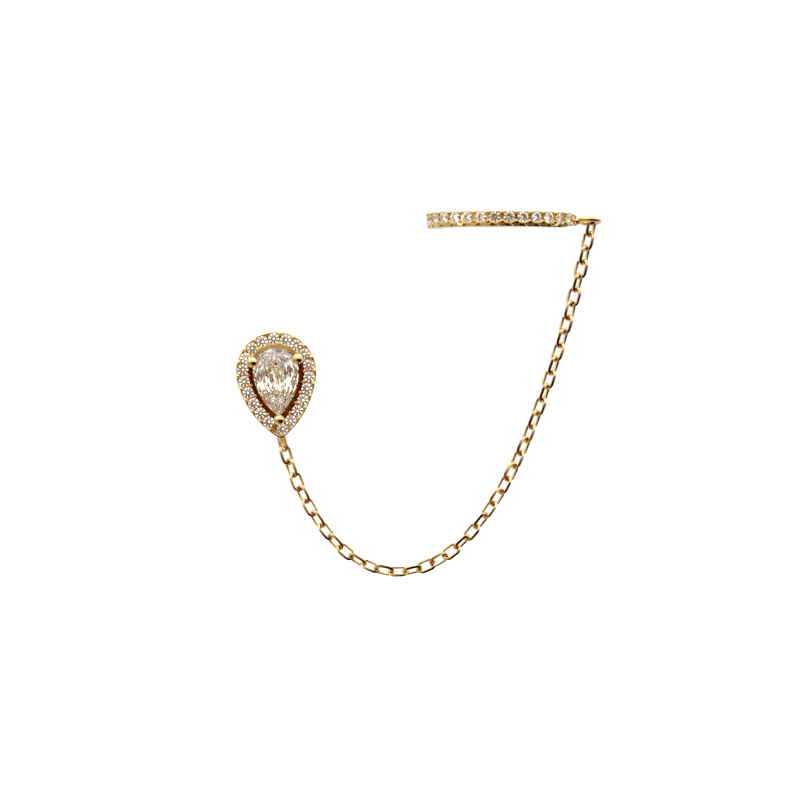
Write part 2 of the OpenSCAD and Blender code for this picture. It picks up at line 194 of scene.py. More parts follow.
floor_mesh = bpy.data.meshes.new("floor")
half_floor = FLOOR_SIDE / 2 * MM
floor_mesh.from_pydata(
    [(x * half_floor, y * half_floor, -FLOOR_DROP * MM) for x, y in ((-1, -1), (1, -1), (1, 1), (-1, 1))],
    [], [(0, 1, 2, 3)])
floor = new_object("floor", floor_mesh)
paper, tree = new_material("white paper sweep")
paper_shader = add_node(tree, "ShaderNodeBsdfPrincipled", (), {
    "Base Color": linear("FAFAF8"), "Roughness": 0.9,
    "Emission Color": (1, 1, 1, 1), "Emission Strength": 0.6})
add_node(tree, "ShaderNodeOutputMaterial", (), {"Surface": paper_shader.outputs[0]})
floor_mesh.materials.append(paper)
floor.visible_glossy = False
floor.visible_transmission = False
floor.visible_diffuse = False

# Halo rim of the stud
# One casting in gold-plated metal: a drop-shaped rim with an open-backed seat for each small stone,
# and shared beads raised between the stones. It is polished after the stones are set.
STUD_ROLL = math.radians(7.5)
HALO_LINE_R = 2.91
FLANK_LINE_R = 7.5
FLANK_START = math.radians(10)
HALO_COUNT = 20
TIP_SETBACK = 0.25
RIM_HALF = 0.585
RIM_H = 1.48
OUTER_TIP_R = 0.45
INNER_TIP_R = 0.3
LEDGE_H = 0.4
LEDGE_RISE = 0.25
LEDGE_IN = 1.4
INNER_LIP = 0.44
INNER_FLARE = 0.04
LIP_DROP = 0.2
HALO_SEAT_Z = 1.4
HALO_STONE_D = 0.95
SEAT_DEEP = 0.42
SEAT_EDGE = 0.03
CUT_OVER = 1
DRILL_R = 0.36
DRILL_LEN = 3
TRENCH_HALF = 0.36
TRENCH_FLOOR = 1.12
TRENCH_TIP_R = 0.4
BEAD_R = 0.17
BEAD_OFFSET = 0.43
VOXEL = 0.05
TUMBLE_STEPS = 2
# Faces inside the setting, between these bounds, get the gold with painted shade
RECESS_LOW = LEDGE_H - 0.1
RECESS_HIGH = RIM_H - 0.5
RECESS_TOP = 0.8
RECESS_HALF_W = 2.5
stud_place = Matrix.Scale(MM, 4) @ Matrix.Rotation(math.pi / 2, 4, "X") @ Matrix.Rotation(STUD_ROLL, 4, "Z")

flank_x = (FLANK_LINE_R - HALO_LINE_R) * math.cos(FLANK_START)
flank_y = (FLANK_LINE_R - HALO_LINE_R) * math.sin(FLANK_START)
flank_end = math.acos(flank_x / FLANK_LINE_R)
head_arc = HALO_LINE_R * (math.pi / 2 + FLANK_START)
flank_arc = FLANK_LINE_R * (flank_end - FLANK_START)
halo_pitch = (head_arc + flank_arc - TIP_SETBACK) / (HALO_COUNT / 2)


def drop_place(s, out):
    """Point and outward direction on the drop's halo line, at arc length s from the top."""
    side = -1 if s < 0 else 1
    s = abs(s)
    if s < head_arc:
        turn = math.pi / 2 - s / HALO_LINE_R
        way = Vector((math.cos(turn), math.sin(turn), 0))
        point = (HALO_LINE_R + out) * way
    else:
        turn = FLANK_START + (s - head_arc) / FLANK_LINE_R
        way = Vector((math.cos(turn), -math.sin(turn), 0))
        point = Vector((-flank_x, flank_y, 0)) + (FLANK_LINE_R + out) * way
    return Vector((side * point.x, point.y, 0)), Vector((side * way.x, way.y, 0))


def drop_outline(out, tip_r, steps=40, tip_steps=8):
    """Closed drop outline, moved outwards by out, with a tip of radius tip_r."""
    run = FLANK_LINE_R + out - tip_r
    tip_y = flank_y - math.sqrt(run ** 2 - flank_x ** 2)
    last = math.acos(flank_x / run)
    right = []
    for i in range(steps + 1):
        turn = math.pi / 2 - i * (math.pi / 2 + FLANK_START) / steps
        right.append((HALO_LINE_R + out) * Vector((math.cos(turn), math.sin(turn))))
    for i in range(1, steps + 1):
        turn = FLANK_START + i * (last - FLANK_START) / steps
        way = Vector((math.cos(turn), -math.sin(turn)))
        right.append(Vector((-flank_x, flank_y)) + (FLANK_LINE_R + out) * way)
    for i in range(1, tip_steps + 1):
        turn = last + i * (math.pi / 2 - last) / tip_steps
        right.append(Vector((0, tip_y)) + tip_r * Vector((math.cos(turn), -math.sin(turn))))
    return right + [Vector((-p.x, p.y)) for p in right[-2:0:-1]]


def add_walls(shape, loops, close_ends=True):
    """Skins a list of closed loops of points, and caps the first and last one."""
    rings = [[shape.verts.new(p) for p in loop] for loop in loops]
    for low, high in zip(rings, rings[1:]):
        for i in range(len(low)):
            j = (i + 1) % len(low)
            shape.faces.new((low[i], low[j], high[j], high[i]))
    if close_ends:
        shape.faces.new(rings[0][::-1])
        shape.faces.new(rings[-1])
    return rings


def add_ring_wall(shape, loops):
    """Skins loops that close on themselves, the last one joined to the first."""
    rings = add_walls(shape, loops, close_ends=False)
    first, last = rings[0], rings[-1]
    for i in range(len(first)):
        j = (i + 1) % len(first)
        shape.faces.new((last[i], last[j], first[j], first[i]))


def add_lathe(shape, place, profile, sides=32):
    """A turned solid: profile holds (radius, height) pairs, the first and last on the axis."""
    rows = []
    for r, z in profile:
        if r == 0:
            rows.append([shape.verts.new(place @ Vector((0, 0, z)))])
        else:
            rows.append([shape.verts.new(place @ Vector((
                r * math.cos(2 * math.pi * k / sides), r * math.sin(2 * math.pi * k / sides), z)))
                for k in range(sides)])
    for low, high in zip(rows, rows[1:]):
        for k in range(sides):
            n = (k + 1) % sides
            corners = [low[k % len(low)], low[n % len(low)], high[n % len(high)], high[k % len(high)]]
            shape.faces.new(list(dict.fromkeys(corners)))


def add_ball(shape, centre, radius):
    """A fine round ball."""
    bmesh.ops.create_uvsphere(shape, u_segments=24, v_segments=16, radius=radius,
                              matrix=Matrix.Translation(centre))


def finished(name, shape, place=Matrix.Identity(4)):
    """Turns a bmesh into a mesh object whose place is in its mesh."""
    bmesh.ops.recalc_face_normals(shape, faces=shape.faces)
    mesh = bpy.data.meshes.new(name)
    shape.to_mesh(mesh)
    shape.free()
    mesh.transform(place)
    return new_object(name, mesh)


def applied(piece):
    """Applies a piece's modifiers and drops them."""
    seen_now = piece.evaluated_get(bpy.context.evaluated_depsgraph_get())
    mesh = bpy.data.meshes.new_from_object(seen_now)
    old = piece.data
    piece.modifiers.clear()
    piece.data = mesh
    mesh.name = piece.name
    bpy.data.meshes.remove(old)
    return piece


def fused(piece, voxel, steps):
    """Fuses what a piece holds into one skin, and softens its edges in these many steps."""
    fuse = piece.modifiers.new("fuse", "REMESH")
    fuse.mode, fuse.voxel_size, fuse.use_smooth_shade = "VOXEL", voxel, True
    tumble = piece.modifiers.new("tumble", "SMOOTH")
    tumble.factor, tumble.iterations = 0.5, steps
    return applied(piece)


def cast_metal(name, solid, cutter, raised, place):
    """One casting: the solid less its cutter, with the raised details fused on, tumbled smooth."""
    body, tool, detail = finished(name, solid), finished("cutter", cutter), finished("raised", raised)
    cut = body.modifiers.new("seats", "BOOLEAN")
    cut.operation, cut.solver, cut.object = "DIFFERENCE", "MANIFOLD", tool
    applied(body)
    whole = bmesh.new()
    whole.from_mesh(body.data)
    whole.from_mesh(detail.data)
    whole.to_mesh(body.data)
    whole.free()
    for spare in (tool, detail):
        bpy.data.objects.remove(spare)
    fused(body, VOXEL, TUMBLE_STEPS)
    body.data.materials.clear()
    body.data.transform(place)
    return body


# Yellow gold plate on cast metal: warm mirror, orange where it mirrors itself. Tumble polishing
# leaves a faint waviness about 0.35 mm across.
GOLD = "F9E3A8"
GOLD_ROUGH = 0.12
WAVE_SIZE = 0.35
WAVE_HEIGHT = 0.012
polished_gold, tree = new_material("polished yellow gold plate")
spot = add_node(tree, "ShaderNodeTexCoord").outputs["Object"]
waves = add_node(tree, "ShaderNodeTexNoise", (), {
    "Vector": spot, "Scale": 1 / (WAVE_SIZE * MM), "Detail": 2.0, "Roughness": 0.5})
relief = add_node(tree, "ShaderNodeBump", (), {
    "Strength": 0.2, "Distance": WAVE_HEIGHT * MM, "Height": waves.outputs["Fac"]})
polish = add_node(tree, "ShaderNodeMapRange", (), {
    "Value": waves.outputs["Fac"], "From Min": 0.3, "From Max": 0.7,
    "To Min": GOLD_ROUGH - 0.03, "To Max": GOLD_ROUGH + 0.05})
gold_shader = add_node(tree, "ShaderNodeBsdfPrincipled", (), {
    "Base Color": linear(GOLD), "Metallic": 1.0, "Roughness": polish.outputs["Result"],
    "Normal": relief.outputs["Normal"]})
add_node(tree, "ShaderNodeOutputMaterial", (), {"Surface": gold_shader.outputs[0]})

# Painted shade: where the gold lies in its own shade and mirrors itself, it is painted dark orange and dull.
painted_shade_gold, tree = new_material("unpolished gold inside the setting")
painted_shade_shader = add_node(tree, "ShaderNodeBsdfPrincipled", (), {
    "Base Color": linear("A8551C"), "Metallic": 1.0, "Roughness": 0.3})
add_node(tree, "ShaderNodeOutputMaterial", (), {"Surface": painted_shade_shader.outputs[0]})


def halo_s(i):
    """Arc length of halo stone i: down the right side first, then up the left."""
    return (i if i <= HALO_COUNT / 2 else i - HALO_COUNT) * halo_pitch


def seat_cutter(shape, place, seat_d, drill_r):
    """What is drilled for one stone: a bore for the girdle, a cone for the pavilion, a back hole."""
    add_lathe(shape, place, [
        (0, -DRILL_LEN), (drill_r, -DRILL_LEN), (drill_r, -SEAT_DEEP), (seat_d / 2, -SEAT_EDGE),
        (seat_d / 2, CUT_OVER), (0, CUT_OVER)])


rim = bmesh.new()
rim_outer = drop_outline(RIM_HALF, OUTER_TIP_R)
rim_lip = drop_outline(-INNER_LIP, INNER_TIP_R)
rim_inner = [p - Vector((0, LIP_DROP)) for p in drop_outline(-INNER_LIP - INNER_FLARE, INNER_TIP_R)]
ledge_inner = drop_outline(-LEDGE_IN, INNER_TIP_R)
trench_outer = drop_outline(TRENCH_HALF, TRENCH_TIP_R)
trench_inner = drop_outline(-TRENCH_HALF, INNER_TIP_R)
# The rim's section, from the ledge's foot round the outside, through the trench and down the inside
add_ring_wall(rim, [[(p.x, p.y, z) for p in outline] for outline, z in (
    (ledge_inner, 0), (rim_outer, 0), (rim_outer, RIM_H), (trench_outer, RIM_H),
    (trench_outer, TRENCH_FLOOR), (trench_inner, TRENCH_FLOOR), (trench_inner, RIM_H),
    (rim_lip, RIM_H), (rim_inner, LEDGE_H), (ledge_inner, LEDGE_H + LEDGE_RISE))])
seats = bmesh.new()
beads = bmesh.new()
for i in range(HALO_COUNT):
    centre, way = drop_place(halo_s(i), 0)
    seat_cutter(seats, Matrix.Translation(centre + Vector((0, 0, HALO_SEAT_Z))), HALO_STONE_D, DRILL_R)
    s = halo_s(i) + (1 if i < HALO_COUNT / 2 else -1) * halo_pitch / 2
    for offset in (BEAD_OFFSET, -BEAD_OFFSET):
        if offset < 0 and abs(s) > (HALO_COUNT / 2 - 1) * halo_pitch:
            continue
        centre, way = drop_place(s, offset)
        add_ball(beads, centre + Vector((0, 0, RIM_H)), BEAD_R)
halo_rim = cast_metal("halo_rim", rim, seats, beads, stud_place)
halo_rim.data.materials.append(polished_gold)
halo_rim.data.materials.append(painted_shade_gold)
inside = stud_place.inverted()
# Faces inside the setting get painted shade: the darker orange gold
for face in halo_rim.data.polygons:
    at = inside @ face.center
    if RECESS_LOW < at.z < RECESS_HIGH and at.y < RECESS_TOP and abs(at.x) < RECESS_HALF_W:
        face.material_index = 1
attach(halo_rim, "root")
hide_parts("stud_setting")

# Claws, back bar and ear post
# Three round claws rise from the ledge and end in big balls pressed over the centre stone's edge. A
# plain bar crosses the back, and the straight ear post is soldered to it.
DROP_W = 4
DROP_LEN = 6
GIRDLE_Z = 2.15
HEAD_Y = 0.09
CLAW_BALL_D = 0.96
CLAW_WIRE_D = 0.6
CLAW_FOOT = 0.3
CLAW_NECK = 0.35
CLAW_OUT = 0.165
CLAW_ANGLE = math.radians(24)
TIP_CLAW_Y = -4.2
BALL_RISE = 0.55
BALL_FROM = -50
BALL_STEPS = 12
POST_D = 0.8
POST_LEN = 10
POST_TIP = 0.4
BAR_SIZE = (0.9, 7, 0.4)
BAR_MIDDLE = (0, -0.9, 0.2)
BAR_EDGE = 0.08


def polished(piece, crease):
    """Gives a piece its gold and a smooth polish; edges of more than crease degrees stay crisp."""
    piece.data.materials.append(polished_gold)
    piece.data.shade_smooth()
    piece.data.set_sharp_from_angle(angle=math.radians(crease))


claws = bmesh.new()
claw_reach = DROP_W / 2 + CLAW_OUT
claw_x, claw_y = claw_reach * math.cos(CLAW_ANGLE), HEAD_Y + claw_reach * math.sin(CLAW_ANGLE)
ball_z = GIRDLE_Z + BALL_RISE
claw_profile = [(0, CLAW_FOOT), (CLAW_WIRE_D / 2, CLAW_FOOT), (CLAW_WIRE_D / 2, ball_z - CLAW_NECK)]
for k in range(1, BALL_STEPS):
    tilt = math.radians(BALL_FROM + k * (90 - BALL_FROM) / BALL_STEPS)
    claw_profile.append((CLAW_BALL_D / 2 * math.cos(tilt), ball_z + CLAW_BALL_D / 2 * math.sin(tilt)))
claw_profile.append((0, ball_z + CLAW_BALL_D / 2))
for foot in ((-claw_x, claw_y, 0), (claw_x, claw_y, 0), (0, TIP_CLAW_Y, 0)):
    add_lathe(claws, Matrix.Translation(foot), claw_profile)
claw_set = finished("claws", claws, stud_place)
polished(claw_set, 50)
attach(claw_set, "root")
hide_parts("stud_setting")

back = bmesh.new()
bmesh.ops.create_cube(back, size=1, matrix=Matrix.Translation(BAR_MIDDLE) @ Matrix.Diagonal((*BAR_SIZE, 1)))
bmesh.ops.bevel(back, geom=back.edges[:], offset=BAR_EDGE, segments=3, affect="EDGES", profile=0.7)
# The post's outline, from its rounded tip to the fillet of solder at its foot
post_r = POST_D / 2
add_lathe(back, Matrix.Identity(4), [
    (0, -POST_LEN), (0.17, -POST_LEN + 0.02), (0.3, -POST_LEN + 0.12), (post_r - 0.03, -POST_LEN + 0.3),
    (post_r, -POST_LEN + POST_TIP), (post_r, -0.12), (post_r + 0.06, -0.04), (post_r + 0.14, 0.02),
    (0, 0.02)])
ear_post = finished("ear_post", back, stud_place)
polished(ear_post, 40)
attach(ear_post, "root")
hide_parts("stud_setting")

# Loop under the tip
# A small oval of round wire soldered upright below the tip, its upper half closed by solder. The
# first link of the chain goes through its lower end.
LOOP_WIRE = 0.31
LOOP_W = 1.14
LOOP_TOP = Vector((0, -5.4))
LOOP_BOTTOM = Vector((0.23, -6.93))
LOOP_Z = 0.8
LOOP_TURN = math.radians(-50)
SOLDER_POOL = (0.42, 0.5, 0.17)
POOL_RISE = 0.32
LOOP_STEPS = 12
LOOP_SIDES = 16
LOOP_VOXEL = 0.03
MELT_STEPS = 4
loop_axis = LOOP_BOTTOM - LOOP_TOP
loop_end_r = (LOOP_W - LOOP_WIRE) / 2
loop_straight = loop_axis.length - 2 * loop_end_r


def stadium(end_r, straight, steps):
    """Centre line of a long link in X and Y, its straight sides along Y, as (point, outward)."""
    points = []
    for i in range(2 * steps):
        turn = math.pi * (i + 0.5) / steps
        way = Vector((math.cos(turn), math.sin(turn), 0))
        lift = straight / 2 if way.y > 0 else -straight / 2
        points.append((Vector((end_r * way.x, end_r * way.y + lift, 0)), way))
    return points


def round_section(wire_r, sides):
    """Section of a round wire, as (outwards, up) pairs."""
    return [(wire_r * math.cos(2 * math.pi * k / sides), wire_r * math.sin(2 * math.pi * k / sides))
            for k in range(sides)]


def add_wire(shape, path, section, place):
    """A closed wire of this section round a path."""
    add_ring_wall(shape, [
        [place @ (point + out * way + Vector((0, 0, up))) for out, up in section] for point, way in path])


loop = bmesh.new()
loop_lean = math.atan2(loop_axis.x, -loop_axis.y)
loop_place = (Matrix.Translation((LOOP_TOP.x, LOOP_TOP.y, LOOP_Z)) @ Matrix.Rotation(loop_lean, 4, "Z")
              @ Matrix.Rotation(LOOP_TURN, 4, "Y") @ Matrix.Translation((0, -loop_axis.length / 2, 0)))
add_wire(loop, stadium(loop_end_r, loop_straight, LOOP_STEPS), round_section(LOOP_WIRE / 2, LOOP_SIDES),
         loop_place)
bmesh.ops.create_uvsphere(loop, u_segments=24, v_segments=16, radius=1, matrix=(
    loop_place @ Matrix.Translation((0, POOL_RISE, 0)) @ Matrix.Diagonal((*SOLDER_POOL, 1))))
tip_loop = finished("tip_loop", loop, Matrix.Scale(1 / MM, 4) @ stud_place)
fused(tip_loop, LOOP_VOXEL, MELT_STEPS)
tip_loop.data.transform(Matrix.Scale(MM, 4))
tip_loop.data.materials.append(polished_gold)
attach(tip_loop, "root")
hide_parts("stud_setting")

# Halo stones
# Twenty round brilliant-cut white zirconia stones, 0.95 mm across, seated in the rim. Their tables
# stand a little above its face, and the beads that hold them a little above the tables.

# TABLE, STAR and LOWER are shares of the girdle's radius, and the heights are shares of its diameter.
# Each stone is turned by chance and tipped a little, as a setter leaves it.
GIRDLE_POINTS = 16
TABLE = 0.56
STAR = 0.78
LOWER = 0.24
CROWN_RISE = 0.15
EDGE_RISE = 0.03
HALO_PAVILION = 0.435
MOST_TURN = math.radians(45)
MOST_TIP = math.radians(5)
HALO_SEED = 3

# Cubic zirconia is clear with a high refractive index, so its facets flash white, grey and black.
# The centre stone and the cuff's stones are a shade warmer than the halo's, and darker as painted shade.
ZIRCONIA_IOR = 2.16


def cut_zirconia(name, tint):
    """Clear stone of this tint."""
    made, tree = new_material(name)
    shader = add_node(tree, "ShaderNodeBsdfPrincipled", (), {
        "Base Color": linear(tint), "Roughness": 0.0, "IOR": ZIRCONIA_IOR, "Transmission Weight": 1.0})
    add_node(tree, "ShaderNodeOutputMaterial", (), {"Surface": shader.outputs[0]})
    return made


zirconia = cut_zirconia("clear cut zirconia", "FFFCF6")
# A darker copy of the stone, also a little warmer; its darkening is painted shade
warm_shaded_zirconia = cut_zirconia("slightly warm cut zirconia", "EAE4D8")


def round_brilliant(name, diameter, pavilion_share):
    """A round brilliant cut; the even points of its girdle carry the main facets."""
    shape = bmesh.new()
    n = GIRDLE_POINTS
    crown, edge, pavilion = CROWN_RISE * diameter, EDGE_RISE * diameter, pavilion_share * diameter
    narrow = math.cos(2 * math.pi / n)

    def at(i, share, z):
        turn, reach = 2 * math.pi * i / n, share * diameter / 2
        return shape.verts.new((reach * math.cos(turn), reach * math.sin(turn), z))

    mains, halves = range(0, n, 2), range(1, n, 2)
    star_z = crown * (1 - (STAR * narrow - TABLE) / (1 - TABLE))
    table_ring = {i: at(i, TABLE, crown) for i in mains}
    star_ring = {i: at(i, STAR, star_z) for i in halves}
    upper = [at(i, 1, edge / 2) for i in range(n)]
    under = [at(i, 1, -edge / 2) for i in range(n)]
    low_ring = {i: at(i, LOWER, -edge / 2 - pavilion * (1 - LOWER * narrow)) for i in halves}
    culet = shape.verts.new((0, 0, -edge / 2 - pavilion))
    shape.faces.new([table_ring[i] for i in mains])
    for i in mains:
        before, after, nxt = (i - 1) % n, (i + 1) % n, (i + 2) % n
        shape.faces.new((table_ring[i], star_ring[before], upper[i]))
        shape.faces.new((table_ring[i], upper[i], star_ring[after]))
        shape.faces.new((table_ring[i], star_ring[after], table_ring[nxt]))
        shape.faces.new((star_ring[after], upper[i], upper[after]))
        shape.faces.new((star_ring[after], upper[after], upper[nxt]))
        shape.faces.new((culet, low_ring[before], under[i]))
        shape.faces.new((culet, under[i], low_ring[after]))
        shape.faces.new((low_ring[after], under[i], under[after]))
        shape.faces.new((low_ring[after], under[after], under[nxt]))
    for i in range(n):
        shape.faces.new((under[i], under[(i + 1) % n], upper[(i + 1) % n], upper[i]))
    bmesh.ops.dissolve_limit(shape, angle_limit=math.radians(1), verts=shape.verts[:], edges=shape.edges[:])
    return finished(name, shape)


def setter_tree():
    """Geometry nodes that set one piece on every place of a carrier, turned by its two axes."""
    made = bpy.data.node_groups.new("set on places", "GeometryNodeTree")
    for label, kind in (("Places", "Geometry"), ("Piece", "Object"), ("Most turn", "Float"),
                        ("Most tip", "Float"), ("Seed", "Int"), ("Finish", "Material")):
        made.interface.new_socket(label, in_out="INPUT", socket_type="NodeSocket" + kind)
    made.interface.new_socket("Set pieces", in_out="OUTPUT", socket_type="NodeSocketGeometry")
    given = add_node(made, "NodeGroupInput").outputs
    facing, along = (add_node(made, "GeometryNodeInputNamedAttribute", {"data_type": "FLOAT_VECTOR"}, {
        "Name": name}) for name in ("facing", "along"))
    axes = add_node(made, "FunctionNodeAxesToRotation", {"primary_axis": "Z", "secondary_axis": "X"}, {
        0: facing.outputs["Attribute"], 1: along.outputs["Attribute"]})
    tip_low = add_node(made, "ShaderNodeMath", {"operation": "MULTIPLY"}, {0: given["Most tip"], 1: -1.0})
    low = add_node(made, "ShaderNodeCombineXYZ", (), {0: tip_low.outputs[0], 1: tip_low.outputs[0], 2: 0.0})
    high = add_node(made, "ShaderNodeCombineXYZ", (), {
        0: given["Most tip"], 1: given["Most tip"], 2: given["Most turn"]})
    chance = add_node(made, "FunctionNodeRandomValue", {"data_type": "FLOAT_VECTOR"}, {
        0: low.outputs[0], 1: high.outputs[0], "Seed": given["Seed"]})
    small = add_node(made, "FunctionNodeEulerToRotation", (), {0: chance.outputs[0]})
    turned = add_node(made, "FunctionNodeRotateRotation", {"rotation_space": "LOCAL"}, {
        0: axes.outputs[0], 1: small.outputs[0]})
    piece = add_node(made, "GeometryNodeObjectInfo", {"transform_space": "ORIGINAL"}, {
        "Object": given["Piece"], "As Instance": True})
    setting = add_node(made, "GeometryNodeInstanceOnPoints", (), {
        "Points": given["Places"], "Instance": piece.outputs["Geometry"], "Rotation": turned.outputs[0]})
    real = add_node(made, "GeometryNodeRealizeInstances", (), {"Geometry": setting.outputs[0]})
    dressed = add_node(made, "GeometryNodeSetMaterial", (), {
        "Geometry": real.outputs[0], "Material": given["Finish"]})
    add_node(made, "NodeGroupOutput", (), {0: dressed.outputs[0]})
    return made


set_on_places = setter_tree()


def set_pieces(name, places, piece, finish, most_turn=0.0, most_tip=0.0, seed=1):
    """Sets copies of one piece on places, each a point, a facing and an along direction."""
    carrier = bpy.data.meshes.new(name)
    carrier.from_pydata([p for p, f, a in places], [], [])
    for key, column in (("facing", 1), ("along", 2)):
        layer = carrier.attributes.new(key, "FLOAT_VECTOR", "POINT")
        for k, row in enumerate(places):
            layer.data[k].vector = row[column]
    made = new_object(name, carrier)
    setter = made.modifiers.new("set", "NODES")
    setter.node_group = set_on_places
    wanted = {"Piece": piece, "Most turn": most_turn, "Most tip": most_tip, "Seed": seed, "Finish": finish}
    for item in set_on_places.interface.items_tree:
        if item.in_out == "INPUT" and item.name in wanted:
            setter[item.identifier] = wanted[item.name]
    applied(made)
    bpy.data.objects.remove(piece)
    made.data.transform(Matrix.Scale(MM, 4))
    return made


def in_part(place, point, facing, along):
    """A place in a piece's own frame, in millimetres, moved to the part's frame."""
    turn = place.to_3x3().normalized()
    return place @ point / MM, turn @ facing, turn @ along


halo_places = []
for i in range(HALO_COUNT):
    centre, way = drop_place(halo_s(i), 0)
    halo_places.append(in_part(stud_place, centre + Vector((0, 0, HALO_SEAT_Z)), Vector((0, 0, 1)), way))
halo_cut = round_brilliant("halo_cut", HALO_STONE_D, HALO_PAVILION)
halo_stones = set_pieces("halo_stones", halo_places, halo_cut, zirconia, MOST_TURN, MOST_TIP, HALO_SEED)
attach(halo_stones, "root")
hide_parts(*["halo_stone_%02d" % i for i in range(1, HALO_COUNT + 1)])

# Centre stone
# One drop-cut white zirconia stone, 4 by 6 mm, with a small table and a pavilion of many small
# facets. Three claws hold it above the ledge.
CROWN_H = 0.55
GIRDLE_H = 0.08
PAVILION_H = 1.6
STAR_LIFT = 0.02
KEEL_LEN = 1.6
PAVILION_TIERS = (0.88, 0.75, 0.62, 0.49, 0.36, 0.24, 0.12)
PAVILION_CURVE = 1.2
CUT_CHANCE = (0.06, 0.1, 0.03)
CUT_SEED = 8
DROP_POINTS = 32
STONE_FLANK_R = 5.4
stone_tip_y = HEAD_Y + DROP_W / 2 - DROP_LEN
lean_run = STONE_FLANK_R - DROP_W / 2
lean_fall = HEAD_Y - stone_tip_y
stone_lean = math.asin((STONE_FLANK_R ** 2 - lean_run ** 2 - lean_fall ** 2) / (2 * lean_run * lean_fall))


def centre_outline(count):
    """Girdle of the drop, count points, the first at the right of the head."""
    head_r = DROP_W / 2
    flank_c = Vector((-lean_run * math.cos(stone_lean), HEAD_Y + lean_run * math.sin(stone_lean), 0))
    flank_turn = math.acos(-flank_c.x / STONE_FLANK_R)
    head_run = head_r * (math.pi / 2 + stone_lean)
    flank_run = STONE_FLANK_R * (flank_turn - stone_lean)
    half = head_run + flank_run

    def right_side(s):
        if s < head_run:
            turn = math.pi / 2 - s / head_r
            return Vector((head_r * math.cos(turn), HEAD_Y + head_r * math.sin(turn), 0))
        turn = stone_lean + (s - head_run) / STONE_FLANK_R
        return flank_c + STONE_FLANK_R * Vector((math.cos(turn), -math.sin(turn), 0))

    points = []
    for i in range(count):
        s = 2 * half * i / count
        p = right_side(s) if s <= half else right_side(2 * half - s)
        points.append(Vector((p.x if s <= half else -p.x, p.y, 0)))
    return points[::-1]


def drop_cut(name, outline, chance):
    """A drop cut with a small table and a pavilion of many small facets in tiers."""
    shape = bmesh.new()
    n = len(outline)
    low_y, high_y = HEAD_Y - KEEL_LEN, HEAD_Y
    side_chance, along_chance, deep_chance = CUT_CHANCE

    def ring_at(share, z, step, half):
        points = []
        for i in range(0, n, step):
            b = outline[(i + step // 2) % n] if half else outline[i]
            near = Vector((0, max(low_y, min(high_y, b.y)) if z < 0 else (low_y + high_y) / 2, 0))
            p = near + share * (b - near)
            if z < -GIRDLE_H:
                p += share * Vector((chance.uniform(-side_chance, side_chance),
                                     chance.uniform(-along_chance, along_chance), 0))
            points.append(shape.verts.new((p.x, p.y, z)))
        return points

    star_z = CROWN_H * (1 - (STAR - TABLE) / (1 - TABLE)) + STAR_LIFT
    table_ring = ring_at(TABLE, CROWN_H, 2, False)
    star_ring = ring_at(STAR, star_z, 2, True)
    upper = ring_at(1, GIRDLE_H / 2, 1, False)
    under = ring_at(1, -GIRDLE_H / 2, 1, False)
    shape.faces.new(table_ring)
    m = n // 2
    for i in range(m):
        nxt = (i + 1) % m
        here, mid, after = upper[2 * i], upper[2 * i + 1], upper[(2 * i + 2) % n]
        shape.faces.new((table_ring[i], star_ring[i - 1], here))
        shape.faces.new((table_ring[i], here, star_ring[i]))
        shape.faces.new((table_ring[i], star_ring[i], table_ring[nxt]))
        shape.faces.new((star_ring[i], here, mid))
        shape.faces.new((star_ring[i], mid, after))
    for i in range(n):
        shape.faces.new((under[i], under[(i + 1) % n], upper[(i + 1) % n], upper[i]))
    last = under[::2]
    for k, share in enumerate(PAVILION_TIERS):
        half = k % 2 == 0
        tier = ring_at(share, -GIRDLE_H / 2 - PAVILION_H * (1 - share ** PAVILION_CURVE), 2, half)
        for v in tier:
            v.co.z += chance.uniform(-deep_chance, deep_chance) * PAVILION_H
        for i in range(m):
            nxt = (i + 1) % m
            if k == 0:
                shape.faces.new((tier[i], under[2 * i], under[2 * i + 1]))
                shape.faces.new((tier[i], under[2 * i + 1], under[(2 * i + 2) % n]))
                shape.faces.new((tier[i - 1], tier[i], under[2 * i]))
            elif half:
                shape.faces.new((tier[i], last[i], last[nxt]))
                shape.faces.new((tier[i - 1], tier[i], last[i]))
            else:
                shape.faces.new((tier[i], last[i - 1], last[i]))
                shape.faces.new((tier[i], tier[nxt], last[i]))
        last = tier
    culet = shape.verts.new((0, (low_y + high_y) / 2, -GIRDLE_H / 2 - PAVILION_H))
    for i in range(m):
        shape.faces.new((culet, last[i], last[(i + 1) % m]))
    return finished(name, shape)


drop_stone = drop_cut("drop_stone", centre_outline(DROP_POINTS), random.Random(CUT_SEED))
drop_stone.data.transform(stud_place @ Matrix.Translation((0, 0, GIRDLE_Z)))
drop_stone.data.materials.append(warm_shaded_zirconia)
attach(drop_stone, "root")
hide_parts("centre_stone")

# Chain
# Forty-two oval links of diamond-cut wire, gold plated, each looped through the next and rolled a
# quarter turn from it. Inside their bends the gold is painted darker orange as painted shade. The chain
# hangs freely from the tip loop to the cuff's end ring.
LINK_COUNT = 42
LINK_PITCH = 1.256
LINK_W = 1.3
LINK_WIRE_R = 0.155
LINK_CUT = 0.105
LINK_PLAY = 0.025
LINK_STEPS = 12
LINK_SIDES = 16
MILL_GAIN = 1.6
MILL_START = 0.5
EVEN_LINK_TURN = math.radians(-38)
ODD_LINK_TURN = math.radians(52)
LAST_LINK_TURN = math.radians(58)
ROLL_CHANCE = 12
ROLL_SEED = 11
TIP_CHANCE = math.radians(3)
TIP_SEED = 5
BEND_FROM = 0.1
BEND_IN = 0.04
HOOK_PLAY = 0.15
RING_WIRE = 0.42
RING_R = 0.85
RING_BITE = 0.02
RING_HOOK = math.radians(72)
RING_TILT = math.radians(10)
RING_LEAN = math.radians(10)
CUFF_HALF_W = 6.55
CUFF_X = 18.95
CUFF_Z = 14.32
CUFF_TILT = math.radians(3.2)
chain_y = -LOOP_Z
ring_x = CUFF_HALF_W + RING_R + RING_WIRE / 2 - RING_BITE


